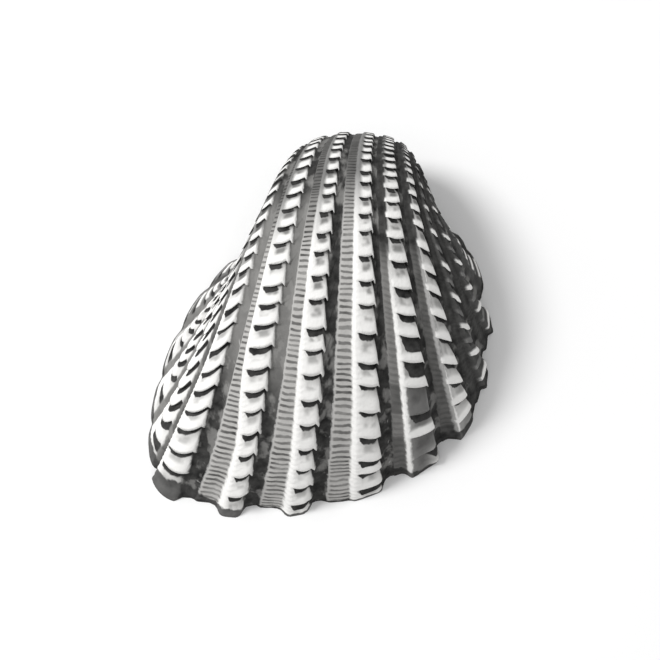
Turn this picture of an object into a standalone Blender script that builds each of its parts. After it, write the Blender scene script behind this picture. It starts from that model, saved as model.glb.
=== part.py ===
"""One valve of a ribbed cockle shell, lying on its rim with the outside up.

The valve is a grown thing, and the model grows it the same way. Its rim is a closed outline on the
ground. Each older growth line is that outline turned about the hinge line and shrunk towards the tip
of the beak, so the ribs, which stray only a little along the outline, run from the tip to the rim.
+X points to the front end of the hinge, +Y to the beak, +Z up. The origin is on the ground under the
middle of the valve. Lengths below are in millimetres and angles in degrees unless a name says else.
"""
import math

import bmesh
import bpy
import numpy as np
from mathutils import Matrix, Vector

MM = 0.001

# How the shell grows
SHRINK = 0.485                # natural logarithm of the shrinking, for each radian of turn
BEAK_TURN = 180.0             # turn of the hinge line between the rim and the tip of the beak
BEAK_BLUNTNESS = 13           # the higher, the later the beak closes on its tip
BEAK_ROUNDNESS = 0.3
TIP_HEIGHT = 2.8              # height of the beak's tip over the ground
HINGE_SLANT = 5.5             # angle of the hinge line from +X
BEAK_LEAN = (1.0, 1.9)        # how far the beak leans forwards and outwards as it curls
FRONT_PINCH = 0.14            # how much narrower the front of the beak's shoulder is
PINCH_TURNS = (40.0, 80.0, 110.0, 150.0)    # where that starts, is full, is full still and ends
PINCH_REACH = 7.0             # distance in front of the beak over which the pinch sets in

# Where each rib ends on the rim, from the back end of the hinge round to its front end. The beak's
# tip is at zero.
RIB_ENDS = [
    (-19.6, -5.8), (-23.0, -10.2), (-25.8, -16.0), (-27.5, -22.0), (-28.0, -27.7), (-26.4, -33.3),
    (-19.3, -35.8), (-11.9, -35.8), (-3.0, -33.6), (4.0, -30.2), (9.0, -25.2), (11.3, -18.0),
    (11.5, -11.5), (10.2, -5.4),
]
# The rim along the hinge, from front to back: places along the hinge line, and how far below it
HINGE_PLACES = [(8.0, 1.4), (2.5, 1.1), (-5.0, 1.1), (-12.0, 1.1), (-16.8, 1.6)]

# Ribs: height over the rim's outline, across one rib from groove to groove, in rib widths
BROAD_RIB = [(-0.5, -0.6), (-0.42, -0.15), (-0.21, -0.05), (-0.15, 0.65), (0.19, 0.65), (0.31, -0.45)]
SIDE_RIB = [(-0.5, -0.55), (-0.22, 0.6), (0.15, 0.6), (0.32, -0.3)]
BROAD_RIBS = range(5, 13)     # the ribs of the middle of the valve; the others are narrower

# How far the ribs stray along the outline, by place and in rib widths: at the rim, and how much
# more on the beak's shoulder. The share of that by turn follows.
STRAYING = [
    (4.0, 0.0, 0.0), (6.0, 0.0, -0.15), (8.0, 0.0, -0.18), (9.0, 0.0, -0.4), (10.0, 0.0, -0.5),
    (11.0, -0.2, -0.75), (12.0, -0.15, -1.2), (13.0, -0.05, -0.9), (14.0, 0.0, -0.4), (15.5, 0.0, 0.0),
]
STRAYING_TURNS = [(0, 0.0), (60, 0.92), (75, 1.0), (100, 1.0), (170, 0.0)]

# The grooves that cut into the lower edge: places along it and the depth
NOTCHES = [
    (5.4, 0.0), (5.7, 0.6), (5.9, 0.6), (6.35, 0.4), (6.6, 0.6), (6.9, 0.6), (7.35, 0.3), (7.8, 0.0),
    (8.2, 0.0), (8.4, 0.9), (8.65, 0.8), (8.8, 0.3), (9.25, 0.3), (9.4, 1.1), (9.6, 1.1), (9.85, 0.0),
]
NOTCH_TURN = 12.7             # turn over which they run out towards the beak

# Scales: the crest of every rib steps up at each scale's free edge
SCALE_COUNT = 20              # scales modelled on each rib, counted from the rim
SCALE_TURN = 3.66             # turn of the hinge line over the youngest scale
SCALE_CROWDING = 1.13         # over 1: the scales nearest the rim are the closest together
SCALE_LIFT = 0.45             # step at the free edge
SCALE_EDGE = 0.14             # share of a scale's length in which the step falls away
BEAK_ROWS = [120, 132, 144, 154, 163, 171, 177.2, 179.6, 180]

# Inside
WALL = 2.3                    # wall at the rim, measured from its outline
CRENULE = 0.25                # waves on the inner edge, one for each rib
HINGE_PLATE = 3.4             # width of the plate that carries the teeth
PLATE_DEPTH = 0.7             # how far the plate lies above the ground
TOOTH_GAP = 0.15              # space left under the teeth
RIM_STEPS = [0.3, 0.7]        # places across the rim where the hinge plate and its teeth bend
# Teeth along the hinge, from the front: two long side teeth and two short ones under the beak
TEETH = [0, 1, 1, 0, 0, 1, 0, 1, 0, 0, 1, 1]
INSIDE_ROWS = [(14, 1.0), (32, 1.0), (52, 1.0), (74, 1.0), (96, 1.0), (112, 0.92), (124, 0.6), (129, 0.0)]

SHELL_COLOUR = (0.78, 0.77, 0.74, 1.0)
SHELL_ROUGHNESS = 0.62


def clear_scene():
    for item in list(bpy.data.objects):
        bpy.data.objects.remove(item, do_unlink=True)


def shell_material():
    material = bpy.data.materials.new("shell")
    material.use_nodes = True
    shader = material.node_tree.nodes["Principled BSDF"]
    shader.inputs["Base Color"].default_value = SHELL_COLOUR
    shader.inputs["Roughness"].default_value = SHELL_ROUGHNESS
    shader.inputs["Metallic"].default_value = 0.0
    return material


def smooth(low, high, value):
    """0 below low, 1 above high, and a smooth rise between."""
    share = min(max((value - low) / (high - low), 0.0), 1.0)
    return share * share * (3 - 2 * share)


def hinge_direction():
    slant = math.radians(HINGE_SLANT)
    return np.array([math.cos(slant), math.sin(slant)])


def rim_guides():
    """The outline's guide points: one at the end of each rib, then those along the hinge."""
    along = hinge_direction()
    below = np.array([along[1], -along[0]])
    hinge = [place * along + gap * below for place, gap in HINGE_PLACES]
    return np.array([np.array(end) for end in RIB_ENDS] + hinge)


GUIDES = rim_guides()


def outline(place):
    """Point and outward direction of the smooth outline at a place counted in guide points."""
    count = len(GUIDES)
    first = math.floor(place)
    part = place - first
    before, start, end, after = (GUIDES[(first + step) % count] for step in (-1, 0, 1, 2))
    bend = 2 * before - 5 * start + 4 * end - after
    twist = 3 * start - before - 3 * end + after
    point = 0.5 * (2 * start + (end - before) * part + bend * part ** 2 + twist * part ** 3)
    ahead = 0.5 * ((end - before) + 2 * bend * part + 3 * twist * part ** 2)
    outward = np.array([ahead[1], -ahead[0]]) / np.linalg.norm(ahead)
    return point, outward


def strayed_outline(place, turn):
    """Point and outward direction of the outline, where a rib has strayed to at this turn."""
    ribs, at_rim, higher = zip(*STRAYING)
    share = np.interp(turn, *zip(*STRAYING_TURNS))
    return outline(place + np.interp(place, ribs, at_rim) + np.interp(place, ribs, higher) * share)


def columns():
    """Places on the outline that become the mesh's columns, with each one's rib height."""
    places = []
    for rib in range(len(RIB_ENDS)):
        section = BROAD_RIB if rib in BROAD_RIBS else SIDE_RIB
        places += [(rib + offset, height) for offset, height in section]
    hinge_start = len(RIB_ENDS) - 0.5
    hinge_length = len(HINGE_PLACES)
    steps = len(TEETH)
    places += [(hinge_start + hinge_length * step / steps, SIDE_RIB[0][1]) for step in range(steps)]
    return places


def hinge_share(place):
    """1 along the hinge, falling smoothly to 0 on the ribbed part of the rim."""
    middle = len(RIB_ENDS) - 0.5 + len(HINGE_PLACES) / 2
    distance = abs((place - middle + len(GUIDES) / 2) % len(GUIDES) - len(GUIDES) / 2)
    return 1 - smooth(len(HINGE_PLACES) / 2 - 0.5, len(HINGE_PLACES) / 2 + 0.5, distance)


def tooth(place):
    """1 where a hinge tooth stands at this place."""
    start = len(RIB_ENDS) - 0.5
    index = round((place - start) * len(TEETH) / len(HINGE_PLACES))
    return TEETH[index] if 0 <= index < len(TEETH) else 0


def size_at(turn):
    """Size of the growth line at this turn, where the rim is 1."""
    closing = 1 - (turn / BEAK_TURN) ** BEAK_BLUNTNESS
    return math.exp(-SHRINK * math.radians(turn)) * max(closing, 0.0) ** BEAK_ROUNDNESS


def pinched(point, turn):
    """A point of the outline, drawn in towards the beak if it lies in front of it."""
    along = hinge_direction()
    distance = point @ along
    pinch = smooth(*PINCH_TURNS[:2], turn) * (1 - smooth(*PINCH_TURNS[2:], turn))
    return point - along * distance * FRONT_PINCH * pinch * smooth(0.0, PINCH_REACH, distance)


def grown(point, turn):
    """A point of the outline, carried back to the growth line at this turn."""
    along = hinge_direction()
    point = pinched(point, turn)
    axis = Vector((along[0], along[1], 0.0))
    size = size_at(turn)
    spot = Matrix.Rotation(-math.radians(turn), 3, axis) @ Vector((point[0], point[1], 0.0))
    lean = Vector((*BEAK_LEAN, 0.0)) * math.sin(math.radians(turn))
    return spot * size + (lean + Vector((0.0, 0.0, TIP_HEIGHT))) * (1 - size)


def scale_rows():
    """Turn and step height of the rows that make the scales, from the rim towards the beak."""
    rows = []
    for number in range(SCALE_COUNT):
        edge = SCALE_TURN * number ** SCALE_CROWDING
        root = SCALE_TURN * (number + 1 - SCALE_EDGE) ** SCALE_CROWDING
        rows += [(edge, 1.0), (root, 0.0)]
    return rows


def outside_rows():
    return scale_rows() + [(turn, 0.5) for turn in BEAK_ROWS]


def outside_point(place, rib_height, turn, step):
    point, outward = strayed_outline(place, turn)
    crest = max(rib_height, 0.0) / BROAD_RIB[3][1]
    relief = rib_height - SCALE_LIFT * crest * (1 - step)
    if crest == 0:
        relief -= np.interp(place, *zip(*NOTCHES)) * (1 - smooth(0.0, NOTCH_TURN, turn))
    return grown(point + outward * relief, turn)


def inner_edge(place):
    """The point of the rim's inner edge at this place."""
    point, outward = strayed_outline(place, 0.0)
    hinge = hinge_share(place)
    wave = CRENULE * math.cos(2 * math.pi * place) * (1 - hinge)
    return point - outward * (WALL + (HINGE_PLATE - WALL) * hinge - wave)


def rim_point(place, rib_height, across):
    """A point on the underside of the rim, across from its outer edge (0) to its inner edge (1)."""
    outer = outside_point(place, rib_height, 0.0, 1.0)
    inner = Vector((*inner_edge(place), 0.0))
    lift = PLATE_DEPTH * hinge_share(place)
    if across < 1:
        lift *= 1 - tooth(place) * (1 - TOOTH_GAP / PLATE_DEPTH)
    return outer.lerp(inner, across) + Vector((0.0, 0.0, lift))


def inside_point(place, turn, spread, middle):
    """A point of the hollow. Its top closes as the spread goes from 1 to 0."""
    return grown(middle + (inner_edge(place) - middle) * spread, turn)


def valve_mesh():
    """A grid wrapped round the valve: its columns go along the rim, and its rows run from the tip
    of the beak down the outside, across the rim and up the inside."""
    places = columns()
    outside = outside_rows()[::-1]
    row_count = len(outside) + len(RIM_STEPS) + 1 + len(INSIDE_ROWS)
    middle = np.mean([inner_edge(place) for place, _ in places], axis=0)

    def point_at(column, row):
        place, rib_height = places[column % len(places)]
        if row < len(outside):
            return outside_point(place, rib_height, *outside[row])
        row -= len(outside)
        if row <= len(RIM_STEPS):
            return rim_point(place, rib_height, (RIM_STEPS + [1.0])[row])
        turn, spread = INSIDE_ROWS[row - len(RIM_STEPS) - 1]
        return inside_point(place, turn, spread, middle)

    form = bmesh.new()
    bmesh.ops.create_grid(form, x_segments=len(places), y_segments=row_count - 1, size=0.5)
    for vertex in form.verts:
        column = round((vertex.co.x + 0.5) * len(places))
        row = round((vertex.co.y + 0.5) * (row_count - 1))
        vertex.co = point_at(column, row) * MM
    bmesh.ops.remove_doubles(form, verts=form.verts, dist=0.001 * MM)
    bmesh.ops.recalc_face_normals(form, faces=form.faces)
    low = [min(vertex.co[axis] for vertex in form.verts) for axis in range(2)]
    high = [max(vertex.co[axis] for vertex in form.verts) for axis in range(2)]
    centre = Vector(((low[0] + high[0]) / 2, (low[1] + high[1]) / 2, 0.0))
    bmesh.ops.translate(form, verts=form.verts, vec=-centre)
    mesh = bpy.data.meshes.new("valve")
    form.to_mesh(mesh)
    form.free()
    return mesh


def add_valve():
    mesh = valve_mesh()
    mesh.materials.append(shell_material())
    mesh.shade_smooth()
    mesh.set_sharp_from_angle(angle=math.radians(38))
    bpy.context.scene.collection.objects.link(bpy.data.objects.new("valve", mesh))


clear_scene()
add_valve()
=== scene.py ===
import math

import bmesh
import bpy
import numpy as np
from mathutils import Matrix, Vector, noise


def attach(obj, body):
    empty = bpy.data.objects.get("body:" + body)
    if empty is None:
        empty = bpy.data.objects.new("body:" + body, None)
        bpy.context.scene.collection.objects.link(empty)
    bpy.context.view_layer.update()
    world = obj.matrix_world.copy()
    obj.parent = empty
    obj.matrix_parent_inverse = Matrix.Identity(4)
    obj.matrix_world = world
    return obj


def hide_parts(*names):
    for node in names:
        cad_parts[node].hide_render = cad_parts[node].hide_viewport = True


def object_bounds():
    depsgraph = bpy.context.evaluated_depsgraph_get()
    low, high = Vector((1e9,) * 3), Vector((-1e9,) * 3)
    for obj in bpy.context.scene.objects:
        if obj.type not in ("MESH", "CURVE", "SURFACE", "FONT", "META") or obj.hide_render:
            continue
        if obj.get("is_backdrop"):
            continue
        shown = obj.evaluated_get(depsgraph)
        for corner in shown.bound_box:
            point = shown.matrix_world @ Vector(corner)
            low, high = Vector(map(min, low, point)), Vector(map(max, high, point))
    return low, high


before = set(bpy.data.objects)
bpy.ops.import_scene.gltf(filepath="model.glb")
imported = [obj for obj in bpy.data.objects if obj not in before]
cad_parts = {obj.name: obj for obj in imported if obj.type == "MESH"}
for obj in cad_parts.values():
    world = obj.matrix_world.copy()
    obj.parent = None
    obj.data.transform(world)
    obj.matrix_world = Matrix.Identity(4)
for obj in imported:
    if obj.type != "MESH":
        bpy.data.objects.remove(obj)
cad_low, cad_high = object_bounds()

# The valve
# One valve of a cockle shell, a single grown piece of chalky lime, lying on its rim. It grew at the
# rim, so every older growth line is the rim's outline turned about the hinge line and shrunk towards
# the tip of the beak, and its ribs stray only a little along that outline.

MM = 0.001

# Growth, in millimetres and degrees, as in the solid that this piece replaces
SHRINK = 0.485                # how fast the growth lines get smaller, for each radian of turn
BEAK_TURN = 180.0             # turn at which the tip of the beak closes
BEAK_BLUNTNESS = 13           # powers of the curve in which it closes
BEAK_ROUNDNESS = 0.3
TIP_HEIGHT = 2.8              # height of the tip over the ground
HINGE_SLANT = 5.5             # turn of the hinge line, anticlockwise from above
BEAK_LEAN = (1.0, 1.9)        # how far the beak leans to the front and over the hinge
FRONT_PINCH = 0.14            # how much narrower the front of the beak's shoulder is
PINCH_TURNS = (40.0, 80.0, 110.0, 150.0)    # turns at which this starts, is full, fades and ends
PINCH_REACH = 7.0             # distance towards the front over which it sets in

# Where each rib ends on the rim, from the back end of the hinge round to its front end. Places round
# the rim are counted in these points and then in those along the hinge, starting from 0
RIB_ENDS = [
    (-19.6, -5.8), (-23.0, -10.2), (-25.8, -16.0), (-27.5, -22.0), (-28.0, -27.7), (-26.4, -33.3),
    (-19.3, -35.8), (-11.9, -35.8), (-3.0, -33.6), (4.0, -30.2), (9.0, -25.2), (11.3, -18.0),
    (11.5, -11.5), (10.2, -5.4),
]
# The rim along the hinge, from front to back: places along the hinge line, and how far below it
HINGE_PLACES = [(8.0, 1.4), (2.5, 1.1), (-5.0, 1.1), (-12.0, 1.1), (-16.8, 1.6)]

slant = math.radians(HINGE_SLANT)
hinge_along = np.array([math.cos(slant), math.sin(slant)])
hinge_below = np.array([math.sin(slant), -math.cos(slant)])
guides = np.array(
    [np.array(end) for end in RIB_ENDS]
    + [place * hinge_along + gap * hinge_below for place, gap in HINGE_PLACES]
)
RIB_COUNT = len(RIB_ENDS)
HINGE_START = RIB_COUNT - 0.5
HINGE_HALF = len(HINGE_PLACES) / 2
HINGE_MIDDLE = HINGE_START + HINGE_HALF


def smooth(low, high, value):
    """0 below low, 1 above high, and a smooth rise between."""
    share = np.clip((value - low) / (high - low), 0.0, 1.0)
    return share * share * (3 - 2 * share)


def hump(start, full, fading, end, value):
    """0 before start and after end, 1 from full to fading, and smooth between."""
    return smooth(start, full, value) * (1 - smooth(fading, end, value))


def outline(place):
    """Points and outward directions of the smooth outline, at places counted in guide points."""
    first = np.floor(place).astype(int)
    part = (place - first)[:, None]
    before, start, end, after = (guides[(first + step) % len(guides)] for step in (-1, 0, 1, 2))
    bend = 2 * before - 5 * start + 4 * end - after
    twist = 3 * start - before - 3 * end + after
    point = 0.5 * (2 * start + (end - before) * part + bend * part ** 2 + twist * part ** 3)
    ahead = 0.5 * ((end - before) + 2 * bend * part + 3 * twist * part ** 2)
    outward = np.stack([ahead[:, 1], -ahead[:, 0]], axis=1)
    return point, outward / np.linalg.norm(outward, axis=1)[:, None]


def grown(point, turn):
    """Points of the outline, one for each column, carried back to the growth lines at these turns."""
    closing = np.clip(1 - (np.clip(turn, 0, None) / BEAK_TURN) ** BEAK_BLUNTNESS, 0, None)
    size = np.exp(-SHRINK * np.radians(turn)) * closing ** BEAK_ROUNDNESS
    along = point @ hinge_along
    below = point @ hinge_below
    pinch = hump(*PINCH_TURNS, turn)
    along = along * (1 - FRONT_PINCH * pinch * smooth(0.0, PINCH_REACH, along))
    low = below * np.cos(np.radians(turn))
    lean = np.sin(np.radians(turn)) * (1 - size)
    x = (along * hinge_along[0] + low * hinge_below[0]) * size + BEAK_LEAN[0] * lean
    y = (along * hinge_along[1] + low * hinge_below[1]) * size + BEAK_LEAN[1] * lean
    z = below * np.sin(np.radians(turn)) * size + TIP_HEIGHT * (1 - size)
    return np.stack([x, y, z], axis=-1)


def hinge_share(place):
    """1 along the hinge, falling smoothly to 0 on the ribbed part of the rim."""
    half = len(guides) / 2
    distance = np.abs((place - HINGE_MIDDLE + half) % len(guides) - half)
    return 1 - smooth(HINGE_HALF - 0.5, HINGE_HALF + 0.5, distance)


# Ribs. Across one rib from groove to groove: places in rib widths, and heights over the outline
BROAD_RIB = [
    (-0.5, -0.55), (-0.475, -0.3), (-0.45, -0.18), (-0.38, -0.12), (-0.24, -0.06), (-0.2, 0.0),
    (-0.155, 0.54), (-0.13, 0.62), (-0.08, 0.66), (0.02, 0.65), (0.1, 0.6), (0.16, 0.49),
    (0.2, 0.26), (0.23, -0.2), (0.27, -0.44), (0.36, -0.56), (0.44, -0.62), (0.5, -0.55),
]
SIDE_RIB = [
    (-0.5, -0.3), (-0.45, -0.2), (-0.38, 0.1), (-0.28, 0.48), (-0.15, 0.6), (0.05, 0.58),
    (0.2, 0.5), (0.32, 0.2), (0.4, -0.1), (0.46, -0.25), (0.5, -0.3),
]
FIRST_BROAD_RIB = 5
LAST_BROAD_RIB = 12
# Places across one rib that become the mesh's columns
BROAD_COLUMNS = [
    -0.5, -0.475, -0.45, -0.38, -0.31, -0.24, -0.2, -0.178, -0.155, -0.13, -0.08, -0.03,
    0.02, 0.06, 0.1, 0.14, 0.17, 0.2, 0.215, 0.23, 0.27, 0.315, 0.36, 0.44,
]
SIDE_COLUMNS = [-0.5, -0.45, -0.36, -0.27, -0.18, -0.09, 0.0, 0.1, 0.2, 0.3, 0.38, 0.44]
HINGE_COLUMNS = 24
# Where a crest starts, is full, falls off and ends, and the same for all of a broad rib's raised part
BROAD_CREST = (-0.14, 0.02, 0.2, 0.27)
SIDE_CREST = (-0.42, -0.2, 0.28, 0.42)
BROAD_TOP = (-0.3, -0.1, 0.14, 0.34)
# Crests of another width than the section's: start and end at the rim, then on the shoulder
CRESTS = {
    5: (-0.36, 0.2, -0.2, 0.2), 6: (-0.06, 0.21, -0.3, 0.17), 7: (-0.03, 0.22, -0.14, 0.25),
    8: (-0.12, 0.23, -0.16, 0.24), 9: (-0.25, 0.28, -0.25, 0.28), 10: (-0.24, 0.2, -0.24, 0.22),
}
CREST_IN_SECTION = (-0.13, 0.2)
CREST_GROWTH = (3.0, 8.0)     # scales from the rim between which a crest's width changes
# How far the ribs stray along the outline, in rib widths: at the rim, and further on the shoulder
STRAYING_AT_RIM = [(10.0, 0.0), (11.0, -0.2), (12.0, -0.15), (13.0, -0.05), (14.0, 0.0)]
STRAYING_HIGHER = [
    (4.0, 0.0), (6.0, -0.15), (8.0, -0.18), (9.0, -0.4), (10.0, -0.5), (11.0, -0.75), (12.0, -1.2),
    (13.0, -0.9), (14.0, -0.4), (15.5, 0.0),
]
# The share of this further straying at each turn
STRAYING_TURNS = [(0, 0.0), (60, 0.92), (75, 1.0), (100, 1.0), (170, 0.0)]

# Columns: the rib that each one lies on, and its place across that rib
across = []
rib_number = []
for rib in range(RIB_COUNT):
    columns = BROAD_COLUMNS if FIRST_BROAD_RIB <= rib <= LAST_BROAD_RIB else SIDE_COLUMNS
    across += columns
    rib_number += [rib] * len(columns)
for step in range(HINGE_COLUMNS):
    place = HINGE_START + len(HINGE_PLACES) * step / HINGE_COLUMNS
    rib_number.append(math.floor(place + 0.5))
    across.append(place - rib_number[-1])
across = np.array(across)
rib_number = np.array(rib_number)
on_rib = rib_number + across < HINGE_START
is_broad = on_rib & (rib_number >= FIRST_BROAD_RIB) & (rib_number <= LAST_BROAD_RIB)


def spread(share):
    """The columns' places round the rim, with the crests this far from their width at the rim (0)
    to that on the shoulder (1)."""
    found = rib_number + across
    for rib, (start, end, high_start, high_end) in CRESTS.items():
        own = on_rib & (rib_number == rib)
        edges = [-0.5, start + (high_start - start) * share, end + (high_end - end) * share, 0.5]
        found[own] = rib + np.interp(across[own], [-0.5, *CREST_IN_SECTION, 0.5], edges)
    return found


places = spread(0.0)


def round_rim(table):
    """Values at every column, from a table of places round the rim and values."""
    return np.interp(places, *zip(*table))


stray_at_rim = round_rim(STRAYING_AT_RIM)
stray_higher = round_rim(STRAYING_HIGHER)
rim_points, rim_outward = outline(places + stray_at_rim)
hinge = hinge_share(places)


def strayed(turn, count):
    """The outline at every column, where the ribs have strayed to at this turn and scale number."""
    share = np.interp(turn, *zip(*STRAYING_TURNS))
    crested = spread(float(smooth(*CREST_GROWTH, count)))
    return outline(crested + stray_at_rim + stray_higher * share)


def rib_relief(offset):
    """Plain height of the ribs' section at these offsets across them."""
    broad = np.interp(offset, *zip(*BROAD_RIB))
    side = np.interp(offset, *zip(*SIDE_RIB))
    height = np.where(is_broad, broad, side)
    return np.where(on_rib, height, SIDE_RIB[0][1])


def crest_share(offset):
    """1 on the crest, where the scales stand, 0 off it."""
    crest = np.where(is_broad, hump(*BROAD_CREST, offset), hump(*SIDE_CREST, offset))
    return np.where(on_rib, crest, 0.0)


# Scales on the crests, counted from the rim. Lengths along the ribs are in scale lengths
SCALE_COUNT = 24
SCALE_TURN = 3.66             # turn of the first scale line
SCALE_CROWDING = 1.13         # power of its number with which a scale line's turn grows
SCALE_LIFT = 0.48             # how far a scale falls from its free edge to its root
SCALE_CURVE = 1.5             # power of the curve in which it falls
ROWS_IN_SCALE = [14] * 12 + [10] * 12    # rows of the mesh for each scale
FINE_LINES = 4                # fine growth lines in the length of one scale
LINE_HEIGHT = 0.05            # in millimetres
CREST_SMOOTHNESS = 0.7        # how much of that height is lost on the crests
YOUNG_SCALES = 2.0            # scales from the rim over which overhang, bow and straying set in
LIP = 0.16                    # how far a scale's free edge hangs over
LIP_PART = 0.13               # part of the scale that hangs over
SCALLOP = 0.12                # how far its free edge stands out to the right, in rib widths
SCALLOP_REACH = 0.15          # right of its middle, where it does so in full
SCALE_BOW = 0.25              # how far its left side lags behind its middle
BOW_REACH = 0.25              # distance from its middle at which it does
TERRACE_REACH = 0.15          # the same on the left of a broad rib's crest
# How far its right side lags, by rib, and the scales over which this turns into the bow above
RIGHT_BOW = [(4, 0.25), (5, 0.36), (6, 0.32), (7, 0.26), (8, 0.2), (9, 0.1)]
RIGHT_BOW_SCALES = (5.0, 10.0)
# How steeply the scales on each rib stand across it, in scale lengths for each rib width
SKEW = [2.2, 2.2, 2.2, 2.2, 2.2, 1.7, 0.0, -0.8, -1.3, -1.7, -2.5, -3.0, -3.0, -2.0]
SKEW_FADE = 3.5               # scales over which this sets in from the rim
SKEW_LOSS = 0.6               # share of it that is lost again higher up
SKEW_LOSS_SCALES = (6.0, 13.0)    # scales between which that happens
TERRACE_SKEW = 0.4            # share of it on the terraces, left of the crests
TERRACE_DROP = 0.08           # offset with which the two slopes meet there
# Scale spacing on each rib, and how far its first scales have crowded (under zero) or spread
SPACING = [
    (1.0, 0.0), (1.0, 0.3), (1.0, 0.0), (1.0, 0.4), (1.0, 0.1), (0.95, 0.6), (0.93, 0.35),
    (1.1, -1.3), (1.25, -2.2), (1.22, 0.0), (1.3, -0.35), (1.12, -0.5), (1.27, -0.25), (1.27, -0.5),
]
CROWDED_RUN = 3.0             # scales over which crowding sets in from the rim
SPREAD_RUN = 0.6              # and over which spreading does
EVEN_FROM = 9.0               # scale from which all ribs come to the same spacing
LINE_STRAY = 0.16             # how far a scale line lies off its even place
SETTLED_FROM = 21.0           # scale from which this runs out
# Right of its crest, a rib's scale lines pass over to the next rib's from these places
BROAD_PASSING = 0.27
SIDE_PASSING = 0.38
HINGE_PASSING = (0.1, 0.9)    # and along the hinge between these shares of its length

# Wear and chance
WORN = {9: (0, 1, 3), 10: (0,)}    # scales that have worn down, by rib
WORN_LOSS = 0.75              # share of its height that a worn scale has lost
WORN_DEPTH = 0.2              # and how much lower its rib is
UNEVEN_RIBS = (11, 12, 13)    # ribs on which every other scale is a low one
LOW_SCALE_WEAR = 0.8          # how far a low scale has worn
OLD_FROM = 18.0               # scale from which all get lower towards the beak
OLD_LOSS = 0.6                # share of their height that the oldest have lost
WEAR_CHANCE = 0.2             # how far chance has worn any scale
HEIGHT_CHANCE = 0.35          # and how much it changes the scales' heights
HOLLOW_CHANCE = 0.12          # and the hollows' lengths
CREST_DRIFT = 0.025           # how far a crest wanders to the side, in rib widths
SEED_DISTANCE = 7.31          # how far apart in the noise two seeds lie
NOISE_GAIN = 1.6              # brings the noise to between -1 and 1

# Painted shadow in the hollows under the scales' free edges: their lengths, in scale lengths
BROAD_HOLLOW = 0.27
SIDE_HOLLOW = 0.36
WORN_HOLLOW = 0.8             # share of a hollow that is lost where the scale has worn
FIRST_HOLLOW = 1.4            # how much longer the ones nearest the rim are
LONGEST_HOLLOW = 0.75
# On the worn rib the painted shadow under some of its scales is longer: scale numbers, and how many
# times longer
WORN_RIB = 9
PATCHES = {2: 1.4, 4: 2.2, 5: 2.0, 6: 1.4, 7: 1.3, 8: 1.3}

# The rim's own forms. The ribs at both sides run out flatter: places, and how much flatter
FLAT_RIBS = [(3.8, 0.6), (4.6, 0.0), (7.3, 0.0), (7.7, 0.55), (10.4, 0.55), (10.8, 0.0)]
FLAT_LEVEL = 0.4              # height at which they run out
FLAT_LENGTH = 2.5             # scales over which they come to their full relief
# The grooves that cut into the lower edge: places and depths
NOTCHES = [
    (5.4, 0.0), (5.7, 0.6), (5.9, 0.6), (6.35, 0.4), (6.6, 0.6), (6.9, 0.6), (7.35, 0.3), (7.8, 0.0),
    (8.2, 0.0), (8.4, 0.9), (8.65, 0.8), (8.8, 0.3), (9.25, 0.3), (9.4, 1.1), (9.6, 1.1), (9.85, 0.0),
]
NOTCH_LENGTH = 3.0            # scales over which they run out towards the beak
FURROW_HEIGHTS = (-0.55, -0.3)    # between these a furrow turns into the rib's side
# The rounded knob at the worn rib's end: place and half width across it, in rib widths, height,
# and its middle and half length, in scale lengths from the rim
KNOB_PLACE = 0.15
KNOB_WIDTH = 0.07
KNOB_HEIGHT = 0.7
KNOB_MIDDLE = 0.55
KNOB_LENGTH = 0.75

own_rib = np.clip(rib_number, 0, RIB_COUNT - 1)
next_rib = np.clip(rib_number + 1, 0, RIB_COUNT - 1)
next_rib[~on_rib] = 0
rib_passing = smooth(np.where(is_broad, BROAD_PASSING, SIDE_PASSING), 0.5, across)
along_hinge = (places - HINGE_START) / len(HINGE_PLACES)
passing = np.where(on_rib, rib_passing, smooth(*HINGE_PASSING, along_hinge))
skew = np.array(SKEW)
right_bow = np.interp(rib_number, *zip(*RIGHT_BOW))
flat = round_rim(FLAT_RIBS) * on_rib
notch = round_rim(NOTCHES)
knob = np.exp(-((across - KNOB_PLACE) / KNOB_WIDTH) ** 2) * (rib_number == WORN_RIB)


def wander(values, seed):
    """Smooth irregularity between -1 and 1 along a row of values. A caller's factors on its rib and
    scale numbers keep its scales apart in the noise."""
    spots = [Vector((float(value), seed * SEED_DISTANCE, 0.5)) for value in values]
    return np.array([noise.noise(spot) for spot in spots]) * NOISE_GAIN


def scale_lengths(count):
    """How far from the rim each rib's scale line of this number lies."""
    own_spacing = 1 - float(smooth(EVEN_FROM, SCALE_COUNT, count))
    stray = LINE_STRAY * float(hump(0.0, YOUNG_SCALES, SETTLED_FROM, SCALE_COUNT, count))
    lengths = []
    for rib, (spacing, shift) in enumerate(SPACING):
        start = 1 - math.exp(-count / (CROWDED_RUN if shift < 0 else SPREAD_RUN))
        length = count + (spacing * count + shift * start - count) * own_spacing
        lengths.append(length + stray * wander([count * 0.7 + rib * 9.1], 5)[0])
    return np.array(lengths)


def tilted(place):
    """Adds up the scale lines' slope across a rib: in full on its crest, and less on its terrace."""
    return np.maximum(place, TERRACE_SKEW * place - TERRACE_DROP)


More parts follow.
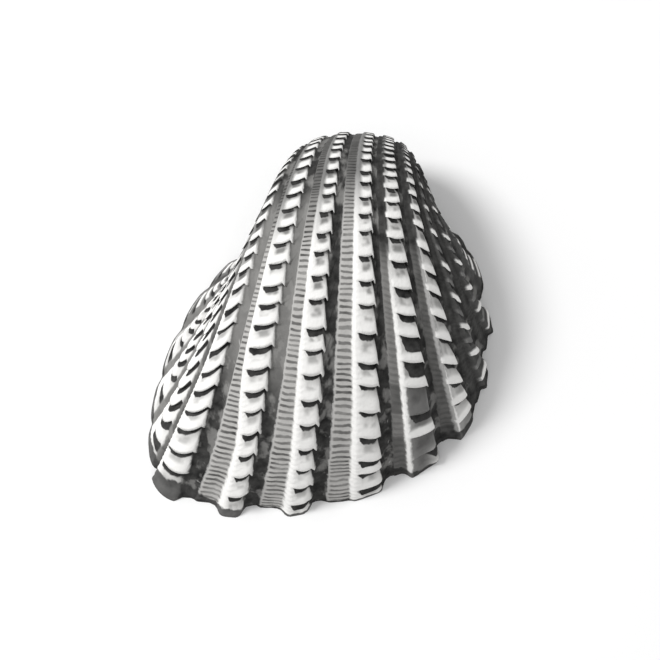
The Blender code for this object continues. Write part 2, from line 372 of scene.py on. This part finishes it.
def line_turn(count, phase, crest, young):
    """Turn at every column of the growth line with this number: it slopes across each rib, and on
    the crests it is bowed back at both sides and hangs over."""
    overhang = min(phase / LIP_PART, 1.0) * LIP * young
    right = right_bow + (SCALE_BOW - right_bow) * float(smooth(*RIGHT_BOW_SCALES, count))
    reach = np.where(is_broad & (across < 0), TERRACE_REACH, BOW_REACH)
    bow = np.where(across > 0, right, SCALE_BOW) * (across / reach) ** 2
    skew_left = 1 - SKEW_LOSS * float(smooth(*SKEW_LOSS_SCALES, count))
    slope = skew * float(smooth(0.0, SKEW_FADE, count)) * skew_left
    lengths = scale_lengths(count)
    own = lengths[own_rib] + slope[own_rib] * tilted(across) * on_rib
    next_one = lengths[next_rib] + slope[next_rib] * tilted(across - 1) * on_rib
    length = own * (1 - passing) + next_one * passing
    length = np.clip(length + (bow * young + overhang) * crest, 0.0, None)
    return SCALE_TURN * length ** SCALE_CROWDING


def wear_of(scale_number, chance):
    """How far the scale with this number has worn down, at every column."""
    worn = np.array([float(scale_number in WORN.get(rib, ())) for rib in rib_number])
    if scale_number % 2 == 0:
        worn = np.where(np.isin(rib_number, UNEVEN_RIBS), LOW_SCALE_WEAR, worn)
    return np.clip(worn + WEAR_CHANCE * np.clip(chance, 0, 1) ** 2, 0, 1) * on_rib


def hollow_over(scale_number, worn, chance, young):
    """Share of the scale with this number that lies under the next one's edge and is painted as its
    shadow, at every column.
    """
    spacing = (scale_lengths(scale_number + 1) - scale_lengths(scale_number))[own_rib]
    hollow = (np.where(is_broad, BROAD_HOLLOW, SIDE_HOLLOW) + LIP * young) / spacing
    hollow = hollow * (1 + HOLLOW_CHANCE * chance) * (1 - WORN_HOLLOW * worn)
    hollow = np.where(rib_number == WORN_RIB, hollow * PATCHES.get(scale_number, 1.0), hollow)
    if scale_number == 0:
        hollow = hollow * FIRST_HOLLOW
    return np.clip(hollow, 0.0, LONGEST_HOLLOW)


def outside_row(count, rows_in_scale):
    """The row this many scales from the rim: its points and number, and for each column the offset
    across the rib, the wear, and the painted shadow's share: the part under the next one's edge."""
    scale_number = math.floor(count)
    phase = count - scale_number
    young = smooth(0.0, YOUNG_SCALES, count)
    rise = 1 - min(phase / (1 - 1 / rows_in_scale), 1.0) ** SCALE_CURVE
    crest = crest_share(across)
    chance = wander(rib_number * 5.3 + scale_number * 2.7, 6)
    worn = wear_of(scale_number, chance)
    turn = line_turn(count, phase, crest, young)

    # The rib's section with the scale on its crest
    drift = CREST_DRIFT * wander(count * 0.22 + rib_number * 5.7, 3)
    scallop = SCALLOP * (rise - 0.5) * smooth(0.0, SCALLOP_REACH, across) * (1 - worn)
    widened = across - drift - scallop
    height = rib_relief(widened) - WORN_DEPTH * worn * crest
    old = 1 - OLD_LOSS * float(smooth(OLD_FROM, SCALE_COUNT, count))
    uneven = 1 + HEIGHT_CHANCE * wander(rib_number * 3.3 + scale_number * 1.9, 2)
    strength = uneven * (1 - WORN_LOSS * worn) * old
    height = height - SCALE_LIFT * crest * strength * (1 - rise)

    # Flatter ribs, the knob and the notches near the rim
    height = height + (FLAT_LEVEL - height) * flat * (1 - float(smooth(0.0, FLAT_LENGTH, count)))
    knob_here = knob * float(1 - smooth(0.0, KNOB_LENGTH, abs(count - KNOB_MIDDLE)))
    height = height + KNOB_HEIGHT * knob_here
    worn = worn * (1 - knob_here)
    furrow = 1 - smooth(*FURROW_HEIGHTS, height)
    off_top = 1 - hump(*BROAD_TOP, across)
    height = height - notch * off_top * (1 - float(smooth(0.0, NOTCH_LENGTH, count)))

    fine_lines = np.sin(2 * math.pi * FINE_LINES * count) * (1 - CREST_SMOOTHNESS * crest)
    height = height + LINE_HEIGHT * fine_lines * (1 - furrow) * on_rib
    base, outward = strayed(turn, count)
    points = grown(base + outward * height[:, None], turn)
    return points, count, widened, worn, hollow_over(scale_number, worn, chance, young)


# Rows of the outside, from the tip of the beak down to the rim
BEAK_ROWS = [137, 141, 146, 151, 156, 161, 165, 169, 172.5, 175.5, 177.7, 179, 179.6, 179.9, 180]
BEAK_CREST_LOSS = 0.3         # how much lower the crests are on the tip

rows = []
looks = {name: [] for name in ("line", "offset", "wear", "under", "inside", "scar")}


def add_row(points, count, widened, worn, hollow, share, scarred=0.0):
    """Keeps a row's points and, for every column, the values that its look depends on."""
    rows.append(points)
    for name, value in zip(looks, (count, widened, worn, hollow, share, scarred)):
        looks[name].append(np.zeros(len(places)) + value)


plain = np.zeros(len(places))
for turn in BEAK_ROWS[::-1]:
    height = rib_relief(across) - BEAK_CREST_LOSS * crest_share(across)
    turns = np.full(len(places), float(turn))
    base, outward = strayed(turns, SCALE_COUNT)
    points = grown(base + outward * height[:, None], turns)
    add_row(points, (turn / SCALE_TURN) ** (1 / SCALE_CROWDING), across, plain + 1, plain, 0.0)
for number in range(SCALE_COUNT - 1, -1, -1):
    rows_in_scale = ROWS_IN_SCALE[number]
    for step in range(rows_in_scale - 1, -1, -1):
        count = number + step / rows_in_scale
        add_row(*outside_row(count, rows_in_scale), 0.0)

# The rim's underside, flat on the ground, and the hinge plate with its teeth
WALL = 2.3                    # thickness at the rim
CRENULE = 0.25                # how far the inner edge waves in and out, once for each rib
RIM_ROWS = 8
HINGE_PLATE = 3.4             # width of the plate
PLATE_DEPTH = 0.7             # how far it lies over the ground
PLATE_EDGE = 0.35             # share of its width in which it comes to that
# Teeth: place along the hinge and half length in guide points, and two shares of the plate's width
TEETH = [(0.75, 0.32, 0.3, 0.85), (1.75, 0.14, 0.2, 0.95), (2.2, 0.1, 0.25, 0.9), (4.1, 0.45, 0.3, 0.8)]
TOOTH_EDGE = 0.18             # share of the width in which a tooth rises or falls
TOOTH_HEIGHT = 0.85           # share of the plate's depth
RIM_CLEANNESS = 0.5           # how much the outer edge of the underside looks like the inside
# The inner edge turns a tight corner at the front end of the hinge, and is rounded there
TIGHT_CORNER = [(11.8, 0.0), (12.6, 1.0), (14.6, 1.0), (15.4, 0.0)]
CORNER_ROUNDING = 40          # times that its points are evened out

wave = CRENULE * np.cos(2 * math.pi * places) * (1 - hinge)
land = WALL + (HINGE_PLATE - WALL) * hinge - wave
tight_corner = round_rim(TIGHT_CORNER)


def tooth(middle, length, low, high, share):
    """A smooth tooth on the hinge plate, at a place along it and between two shares of its width."""
    along = np.exp(-((places - middle) / length) ** 4)
    return along * hump(low, low + TOOTH_EDGE, high - TOOTH_EDGE, high, share)


def eased(points):
    """Rounds the inner edge where it turns the tight corner."""
    for _ in range(CORNER_ROUNDING):
        middle_of_next = (np.roll(points, 1, axis=0) + np.roll(points, -1, axis=0)) / 2
        points = points + 0.5 * tight_corner[:, None] * (middle_of_next - points)
    return points


edge = rows[-1][:, :2]
inner = eased(rim_points - rim_outward * land[:, None])
for step in range(1, RIM_ROWS + 1):
    share = step / RIM_ROWS
    spot = edge + (inner - edge) * share
    dip = PLATE_DEPTH * hinge * smooth(0.0, PLATE_EDGE, share)
    teeth = sum(tooth(HINGE_START + place, *shape, share) for place, *shape in TEETH)
    lift = dip * (1 - TOOTH_HEIGHT * np.clip(teeth, 0, 1))
    add_row(np.column_stack([spot, lift]), 0.0, across, plain, plain, min(1.0, RIM_CLEANNESS + share))

# The hollow
INSIDE_TURNS = [
    1.5, 3.5, 6, 8, 9, 10, 11, 12, 14, 16, 18, 20, 22, 24, 26, 29, 34, 42, 50, 59, 68, 77, 86, 95, 103,
    110, 116, 121, 125, 128, 129,
]
INSIDE_ROUND = 25.0           # turn over which the hollow closes under the beak
WAVE_FADE = 14.0              # turn over which the inner edge's waves run out
PLATE_FADE = 16.0             # turn over which the hollow comes back from the plate's level
# The two scars where muscles held the valves shut: place, turn, and half the width and height
SCARS = [(0.9, 17.0, 1.5, 8.0), (12.0, 17.0, 1.3, 8.0)]
SCAR_EDGE = (0.75, 1.1)       # shares of that at which a scar starts to fade, and ends
# The line on which the soft body's edge was fixed: its turn and its half width
MANTLE_TURN = 10.5
MANTLE_WIDTH = 1.6


def scars(turn):
    """1 on the muscle scars and on the line between them, at every column of the inside."""
    share = (1 - smooth(0.0, 1.0, abs(turn - MANTLE_TURN) / MANTLE_WIDTH)) * on_rib
    for place, scar_turn, width, height in SCARS:
        distance = np.hypot((places - place) / width, (turn - scar_turn) / height)
        share = np.maximum(share, 1 - smooth(*SCAR_EDGE, distance))
    return share


plain_inner = eased(rim_points - rim_outward * (land + wave)[:, None])
middle = plain_inner.mean(axis=0)
for turn in INSIDE_TURNS:
    fading = float(smooth(0.0, WAVE_FADE, turn))
    spots = inner * (1 - fading) + plain_inner * fading
    close = max(0.0, (turn - (INSIDE_TURNS[-1] - INSIDE_ROUND)) / INSIDE_ROUND)
    opening = math.sqrt(max(0.0, 1 - close ** 2))
    spots = middle + (spots - middle) * opening
    points = grown(spots, np.full(len(places), float(turn)))
    points[:, 2] += PLATE_DEPTH * hinge * (1 - float(smooth(0.0, PLATE_FADE, turn)))
    add_row(points, turn / SCALE_TURN, across, plain, plain, 1.0, scars(turn))

# Painted shade, from 0 to 1 at places round the rim. The front flank and the ribs next to the back end
# of the hinge are painted the darkest, and the shoulder is painted darker towards the beak
PAINTED_SHADE_ROUND_RIM = [
    (1.2, 0.8), (2.4, 0.0), (8.45, 0.0), (8.5, 0.6), (8.78, 0.6), (8.82, 0.2), (9.28, 0.2), (9.32, 0.8),
    (9.78, 0.8), (9.84, 0.3), (10.26, 0.3), (10.34, 0.96), (13.6, 0.96), (14.4, 0.3), (18.0, 0.3),
    (18.5, 0.8),
]
SHOULDER_SHADE = [
    (2.5, 0.0), (4.0, 0.65), (5.2, 0.65), (5.3, 0.0), (8.3, 0.0), (8.4, 1.0), (8.76, 1.0), (8.82, 0.0),
    (9.28, 0.0), (9.34, 1.0), (9.72, 1.0), (9.8, 0.0),
]
SHOULDER_SCALES = (8.0, 12.0)    # scales between which this painted shade comes
# The worn rib is darker near the rim, but for its scales' free edges and its knob; this darkening is
# added to the painted shade
DARKER_WORN_RIB = [(8.78, 0.0), (8.84, 0.5), (9.26, 0.5), (9.32, 0.0)]
WORN_RIB_SCALES = (4.0, 6.5)     # scales between which this darkening ends
KNOB_SCALES = (0.7, 1.2)         # and between which the knob's paleness does
# Dust that has settled in the grooves on the left of the shoulder, and in those of the left flank
DUSTY_GROOVES = [(4.5, 0.0), (5.2, 1.0), (5.5, 0.8), (6.6, 0.8), (7.2, 0.0)]
DUSTY_SCALES = (4.0, 8.0, 14.0, 17.0)    # where that dust starts, is full, fades and ends
DUSTY_FLANK = [(0.0, 0.0), (1.0, 0.8), (4.3, 0.8), (4.6, 0.0)]
# Width of the painted shadow along the rim, a dark hem, in scale lengths
RIM_SHADOW_WIDTH = [
    (3.5, 0.16), (4.6, 0.45), (5.2, 0.5), (5.5, 0.4), (5.7, 0.16), (5.9, 0.28), (6.2, 0.28), (6.5, 0.16),
    (8.2, 0.16), (8.4, 0.4), (8.6, 0.4), (8.9, 0.2), (9.25, 0.2), (9.4, 0.6), (9.8, 0.5), (10.0, 0.3),
    (10.2, 0.3), (10.5, 0.4),
]

looks = {name: np.array(values) for name, values in looks.items()}
lines_from_rim = looks["line"]
# The painted shade at every point, with the worn rib's darkening added and the knob left pale
shade = round_rim(PAINTED_SHADE_ROUND_RIM) + round_rim(SHOULDER_SHADE) * smooth(*SHOULDER_SCALES, lines_from_rim)
shade = shade + round_rim(DARKER_WORN_RIB) * (1 - smooth(*WORN_RIB_SCALES, lines_from_rim))
pale_knob = knob * (1 - smooth(*KNOB_SCALES, lines_from_rim))
looks["shade"] = np.minimum(1.0, shade) * (1 - pale_knob)
looks["dust"] = round_rim(DUSTY_GROOVES) * hump(*DUSTY_SCALES, lines_from_rim) + round_rim(DUSTY_FLANK)
looks["hem"] = np.zeros_like(lines_from_rim) + round_rim(RIM_SHADOW_WIDTH)
# The place across a rib is kept as an angle, so that it runs on from one rib to the next
rib_angle = np.where(on_rib, 2 * math.pi * looks["offset"], math.pi)

# The mesh: a grid with one row for each growth line, closed round the rim by merging its two sides
MERGE_DISTANCE = 0.0005       # in millimetres, as the rows are

rows = np.array(rows)
row_count, column_count = rows.shape[:2]
form = bmesh.new()
bmesh.ops.create_grid(form, x_segments=column_count, y_segments=row_count - 1, size=0.5)
layers = {
    name: form.verts.layers.float.new(name)
    for name in ("line", "wear", "under", "inside", "shade", "hem", "scar", "dust")
}
rib_layer = form.verts.layers.float_vector.new("rib")
for vertex in form.verts:
    column = round((vertex.co.x + 0.5) * column_count) % column_count
    row = round((vertex.co.y + 0.5) * (row_count - 1))
    vertex.co = rows[row, column] * MM
    for name, layer in layers.items():
        vertex[layer] = looks[name][row, column]
    angle = rib_angle[row, column]
    vertex[rib_layer] = (math.cos(angle), math.sin(angle), float(is_broad[column]))
bmesh.ops.remove_doubles(form, verts=form.verts, dist=MERGE_DISTANCE * MM)
bmesh.ops.recalc_face_normals(form, faces=form.faces)

# It sits in the middle of the solid's box, and no part of it reaches out of that box
low = np.array([min(vertex.co[axis] for vertex in form.verts) for axis in range(3)])
high = np.array([max(vertex.co[axis] for vertex in form.verts) for axis in range(3)])
cad_size = np.array(cad_high) - np.array(cad_low)
fit = min(1.0, float(np.min(cad_size / (high - low))))
to_middle = -Vector(((low[0] + high[0]) / 2, (low[1] + high[1]) / 2, 0))
bmesh.ops.translate(form, verts=form.verts, vec=to_middle)
bmesh.ops.scale(form, verts=form.verts, vec=(fit, fit, fit))
valve_mesh = bpy.data.meshes.new("valve_shell")
form.to_mesh(valve_mesh)
form.free()
valve_mesh.shade_smooth()
valve = bpy.data.objects.new("valve_shell", valve_mesh)
bpy.context.scene.collection.objects.link(valve)

# Chalky shell: pale on the crests and scales, with painted shade and some silt in the furrows, painted
# shadow under the scales' free edges, and smooth inside
CREST_COLOUR = (0.88, 0.872, 0.855, 1.0)
TERRACE_COLOUR = (0.46, 0.452, 0.438, 1.0)
# Painted shade on the scales' roots and the crests' right sides
CREST_SHADE_COLOUR = (0.42, 0.415, 0.405, 1.0)
# Near black: painted shade in the furrows and where the shade value is high, and also the colour of worn
# scales, fine lines, the part towards the beak and the dark growth line
SHADE_WEAR_AND_LINE_COLOUR = (0.013, 0.013, 0.0127, 1.0)
SILT_COLOUR = (0.21, 0.207, 0.20, 1.0)
# Painted shadow under the scales' free edges and along the rim
PAINTED_SHADOW_COLOUR = (0.012, 0.012, 0.012, 1.0)
INSIDE_COLOUR = (0.80, 0.79, 0.765, 1.0)
SPOT_COLOUR = (0.17, 0.168, 0.163, 1.0)
SCAR_COLOUR = (0.55, 0.535, 0.50, 1.0)
# Parts of a rib by their place across it, in rib widths from its middle: start, end and softness
SIDE_BODY = (-0.42, 0.3, 0.04)
BROAD_BODY = (-0.475, 0.215, 0.02)
TERRACE = (-0.475, -0.2, 0.02)
STRIPED = (-0.455, -0.205, 0.02)
CREST_LINE = (-0.19, -0.11, 0.02)
SIDE_EDGE_SHADOW = (-0.2, 0.3, 0.04)
SPOTTED = (-0.03, 0.13, 0.04)
TIP = (-0.16, 0.2, 0.03)
# The dark part of a stripe and the middle of a scale, as shares of their lengths, and the one dark
# growth line, in scales from the rim: start, end and softness
STRIPE = (0.1, 0.52, 0.09)
MIDDLE_OF_SCALE = (0.3, 0.6, 0.1)
PAUSE_LINE = (16.85, 17.1, 0.08)

shell = bpy.data.materials.new("shell_lime")
shell.use_nodes = True
nodes = shell.node_tree.nodes
links = shell.node_tree.links
shader = nodes["Principled BSDF"]


def feed(socket, value):
    """Links another node's output to a socket, or sets a plain value on it."""
    if isinstance(value, bpy.types.NodeSocket):
        links.new(value, socket)
    else:
        socket.default_value = value


def maths(kind, first, second=0.0, clamp=False):
    """One step of arithmetic on one or two numbers."""
    node = nodes.new("ShaderNodeMath")
    node.operation = kind
    node.use_clamp = clamp
    feed(node.inputs[0], first)
    feed(node.inputs[1], second)
    return node.outputs["Value"]


def blend(share, first, second):
    """Mixes two colours by a share from 0 to 1."""
    node = nodes.new("ShaderNodeMix")
    node.data_type = "RGBA"
    feed(node.inputs[0], share)
    feed(node.inputs[6], first)
    feed(node.inputs[7], second)
    return node.outputs[2]


def choose(share, first, second):
    """Mixes two numbers by a share from 0 to 1."""
    node = nodes.new("ShaderNodeMix")
    feed(node.inputs[0], share)
    feed(node.inputs[2], first)
    feed(node.inputs[3], second)
    return node.outputs[0]


def above(value, low, high):
    """0 where the value is below low, 1 above high, smooth between."""
    node = nodes.new("ShaderNodeMapRange")
    node.interpolation_type = "SMOOTHSTEP"
    feed(node.inputs["Value"], value)
    feed(node.inputs["From Min"], low)
    feed(node.inputs["From Max"], high)
    return node.outputs["Result"]


def between(value, low, high, soft):
    """1 between low and high, 0 outside, with edges this soft."""
    return both(above(value, low - soft, low + soft), inverse(above(value, high - soft, high + soft)))


def inverse(value):
    """1 where the value is 0, and 0 where it is 1."""
    return maths("SUBTRACT", 1.0, value, clamp=True)


def both(first, second):
    """1 where both are 1."""
    return maths("MULTIPLY", first, second)


def surface_number(name):
    """A value that the mesh's points carry."""
    node = nodes.new("ShaderNodeAttribute")
    node.attribute_name = name
    return node.outputs["Fac"]


def speckle(scale, detail, low, high, stretch=1.0):
    """Cloudy noise over the whole piece, from low to high, stretched along the ribs."""
    place = nodes.new("ShaderNodeTexCoord")
    mapping = nodes.new("ShaderNodeMapping")
    mapping.inputs["Scale"].default_value = (1.0, 1.0 / stretch, 1.0)
    node = nodes.new("ShaderNodeTexNoise")
    links.new(place.outputs["Object"], mapping.inputs["Vector"])
    links.new(mapping.outputs["Vector"], node.inputs["Vector"])
    node.inputs["Scale"].default_value = scale
    node.inputs["Detail"].default_value = detail
    limits = nodes.new("ShaderNodeMapRange")
    links.new(node.outputs["Fac"], limits.inputs["Value"])
    limits.inputs["From Min"].default_value = 0.3
    limits.inputs["From Max"].default_value = 0.7
    limits.inputs["To Min"].default_value = low
    limits.inputs["To Max"].default_value = high
    return limits.outputs["Result"]


rib_node = nodes.new("ShaderNodeAttribute")
rib_node.attribute_name = "rib"
rib_parts = nodes.new("ShaderNodeSeparateXYZ")
links.new(rib_node.outputs["Vector"], rib_parts.inputs["Vector"])
rib_turn = maths("ARCTAN2", rib_parts.outputs["Y"], rib_parts.outputs["X"])
true_sideways = maths("DIVIDE", rib_turn, 2 * math.pi)
sideways = maths("ADD", true_sideways, speckle(1500.0, 2.0, -0.012, 0.012))
broad = rib_parts.outputs["Z"]
lines = surface_number("line")
wear_share = surface_number("wear")
under_share = surface_number("under")
inside_share = surface_number("inside")
shade_share = surface_number("shade")
phase = maths("FRACT", lines)

# Furrows between the ribs, painted near black as shade
furrows = inverse(choose(broad, between(sideways, *SIDE_BODY), between(sideways, *BROAD_BODY)))
# Fine dark lines across the terrace on the left of each crest
fine_count = maths("MULTIPLY", lines, FINE_LINES)
stria_phase = maths("FRACT", maths("ADD", fine_count, speckle(700.0, 2.0, -0.12, 0.12)))
striae = both(both(between(stria_phase, *STRIPE), between(sideways, *STRIPED)), broad)
striae = both(striae, speckle(450.0, 2.0, 0.5, 1.15))
striae = both(striae, inverse(both(above(shade_share, 0.2, 0.5), 0.6)))
terrace = both(between(sideways, *TERRACE), broad)
old_lines = above(lines, 6.0, 11.0)
# Painted shadow under each scale's free edge, thicker to the right
thick = both(choose(broad, above(sideways, -0.3, -0.1), above(sideways, -0.14, -0.02)), under_share)
edge_shadow = above(maths("ADD", maths("ADD", phase, thick), speckle(1600.0, 2.0, -0.02, 0.02)), 0.97, 1.03)
right_end = choose(old_lines, 0.28, 0.15)
from_left = above(sideways, -0.12, -0.08)
past_right_end = above(maths("SUBTRACT", sideways, right_end), -0.02, 0.02)
right_part = both(from_left, inverse(past_right_end))
edge_shadow = both(edge_shadow, choose(broad, between(sideways, *SIDE_EDGE_SHADOW), right_part))
# Painted shade: the root of each scale is greyer than its free edge, and so is the crest's right side
roots = both(above(phase, 0.25, 0.7), above(sideways, -0.12, 0.03))
rights = above(sideways, 0.02, 0.22)
painted_crest_shade = maths("ADD", both(roots, 0.65), both(rights, 0.3), clamp=True)
# Grey spots in the middle of some scales
spots = both(between(phase, *MIDDLE_OF_SCALE), choose(broad, 0.0, between(sideways, *SPOTTED)))
spots = both(spots, above(speckle(420.0, 2.0, 0.0, 1.0), 0.25, 0.6))

colour = blend(painted_crest_shade, CREST_COLOUR, CREST_SHADE_COLOUR)
colour = blend(both(spots, choose(old_lines, 0.5, 0.9)), colour, SPOT_COLOUR)
colour = blend(terrace, colour, TERRACE_COLOUR)
colour = blend(both(striae, 0.85), colour, SHADE_WEAR_AND_LINE_COLOUR)
# Worn scales have lost their paleness, but for the line along the left of the crest
crest_line = between(sideways, *CREST_LINE)
colour = blend(both(both(wear_share, 0.45), inverse(crest_line)), colour, SHADE_WEAR_AND_LINE_COLOUR)
# The oldest part, towards the beak, is darker but for the scales' free edges, down to one dark line
# where growth stopped for a while
oldest = above(lines, 11.5, 16.5)
right_side = above(sideways, -0.1, 0.0)
free_edges = both(right_side, inverse(above(phase, 0.3, 0.7)))
darker_to_beak = both(oldest, inverse(free_edges))
colour = blend(both(darker_to_beak, 0.8), colour, SHADE_WEAR_AND_LINE_COLOUR)
pause = both(between(lines, *PAUSE_LINE), above(shade_share, 0.02, 0.2))
colour = blend(pause, colour, SHADE_WEAR_AND_LINE_COLOUR)
# Where the shade is painted, the scales' free edges and the line along the crest are left pale, as lit
tips = both(inverse(above(phase, 0.18, 0.4)), between(sideways, *TIP))
lit_crest_line = both(both(crest_line, inverse(above(shade_share, 0.6, 0.9))), inverse(old_lines))
kept_lit = maths("MAXIMUM", both(tips, inverse(wear_share)), lit_crest_line)
colour = blend(both(shade_share, both(inverse(kept_lit), 0.99)), colour, SHADE_WEAR_AND_LINE_COLOUR)
# Silt and dust in the furrows' painted shade, and the painted shadow under the scales' free edges over
# it
silt = both(above(speckle(650.0, 3.0, 0.0, 1.0, 2.2), 0.5, 0.85), 0.75)
silt = maths("ADD", silt, surface_number("dust"), clamp=True)
colour = blend(furrows, colour, blend(silt, SHADE_WEAR_AND_LINE_COLOUR, SILT_COLOUR))
colour = blend(edge_shadow, colour, PAINTED_SHADOW_COLOUR)
# Painted shadow along the rim, a dark hem
uneven_lines = maths("ADD", lines, speckle(900.0, 2.0, -0.08, 0.08))
past_hem = maths("SUBTRACT", uneven_lines, surface_number("hem"))
rim_shadow = inverse(above(past_hem, 0.0, 0.1))
colour = blend(both(rim_shadow, 0.9), colour, PAINTED_SHADOW_COLOUR)
mottle = speckle(900.0, 3.0, 0.0, 0.3)
colour = blend(both(mottle, 0.35), colour, TERRACE_COLOUR)
# The inside, with its muscle scars darker and shinier
scarred = both(surface_number("scar"), speckle(500.0, 3.0, 0.6, 1.0))
colour = blend(inside_share, colour, blend(scarred, INSIDE_COLOUR, SCAR_COLOUR))
links.new(colour, shader.inputs["Base Color"])
links.new(choose(inside_share, 0.8, choose(scarred, 0.32, 0.2)), shader.inputs["Roughness"])
shader.inputs["Specular IOR Level"].default_value = 0.15
# Chalky grain outside
bump = nodes.new("ShaderNodeBump")
bump.inputs["Distance"].default_value = 0.00006
bump.inputs["Strength"].default_value = 0.5
links.new(both(speckle(2500.0, 3.0, 0.0, 1.0), inverse(inside_share)), bump.inputs["Height"])
links.new(bump.outputs["Normal"], shader.inputs["Normal"])
valve_mesh.materials.append(shell)

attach(valve, "root")
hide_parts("valve")

# The floor: a plain pale sheet under the valve
FLOOR_HALF = 1.5
PAPER_COLOUR = (0.9, 0.9, 0.9, 1.0)

floor_form = bmesh.new()
bmesh.ops.create_grid(floor_form, x_segments=1, y_segments=1, size=FLOOR_HALF)
floor_mesh = bpy.data.meshes.new("floor")
floor_form.to_mesh(floor_mesh)
floor_form.free()
floor = bpy.data.objects.new("floor", floor_mesh)
bpy.context.scene.collection.objects.link(floor)
paper = bpy.data.materials.new("paper")
paper.use_nodes = True
paper_shader = paper.node_tree.nodes["Principled BSDF"]
paper_shader.inputs["Base Color"].default_value = PAPER_COLOUR
paper_shader.inputs["Roughness"].default_value = 0.9
floor_mesh.materials.append(paper)
floor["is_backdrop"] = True

# Light: one soft lamp from the upper left, and a pale room all round
KEY_PLACE = Vector((-0.36, 0.10, 0.50))
KEY_WIDTH = 0.22
KEY_POWER = 2.8
ROOM_STRENGTH = 0.62

key_data = bpy.data.lights.new("key", "AREA")
key_data.shape = "DISK"
key_data.size = KEY_WIDTH
key_data.energy = KEY_POWER
key = bpy.data.objects.new("key", key_data)
key.location = KEY_PLACE
key.rotation_euler = (-KEY_PLACE).to_track_quat("-Z", "Y").to_euler()
bpy.context.scene.collection.objects.link(key)

world = bpy.data.worlds.new("room")
world.use_nodes = True
world.node_tree.nodes["Background"].inputs["Color"].default_value = (1.0, 1.0, 1.0, 1.0)
world.node_tree.nodes["Background"].inputs["Strength"].default_value = ROOM_STRENGTH
bpy.context.scene.world = world

# Camera: looks down on the valve from the side of its lower edge, a long way off
TARGET = Vector((0.00105, -0.0018, 0.0075))
ELEVATION = 70.0
DISTANCE = 1.2
FRAME_WIDTH = 0.0776          # width of the picture at the valve
SENSOR = 36.0

camera_data = bpy.data.cameras.new("camera")
camera_data.sensor_width = SENSOR
camera_data.lens = SENSOR * DISTANCE / FRAME_WIDTH
camera = bpy.data.objects.new("camera", camera_data)
downwards = math.radians(ELEVATION)
camera.location = TARGET + Vector((0.0, -math.cos(downwards), math.sin(downwards))) * DISTANCE
camera.rotation_euler = (TARGET - camera.location).to_track_quat("-Z", "Y").to_euler()
bpy.context.scene.collection.objects.link(camera)
bpy.context.scene.camera = camera
bpy.context.scene.view_settings.view_transform = "Standard"

low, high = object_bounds()
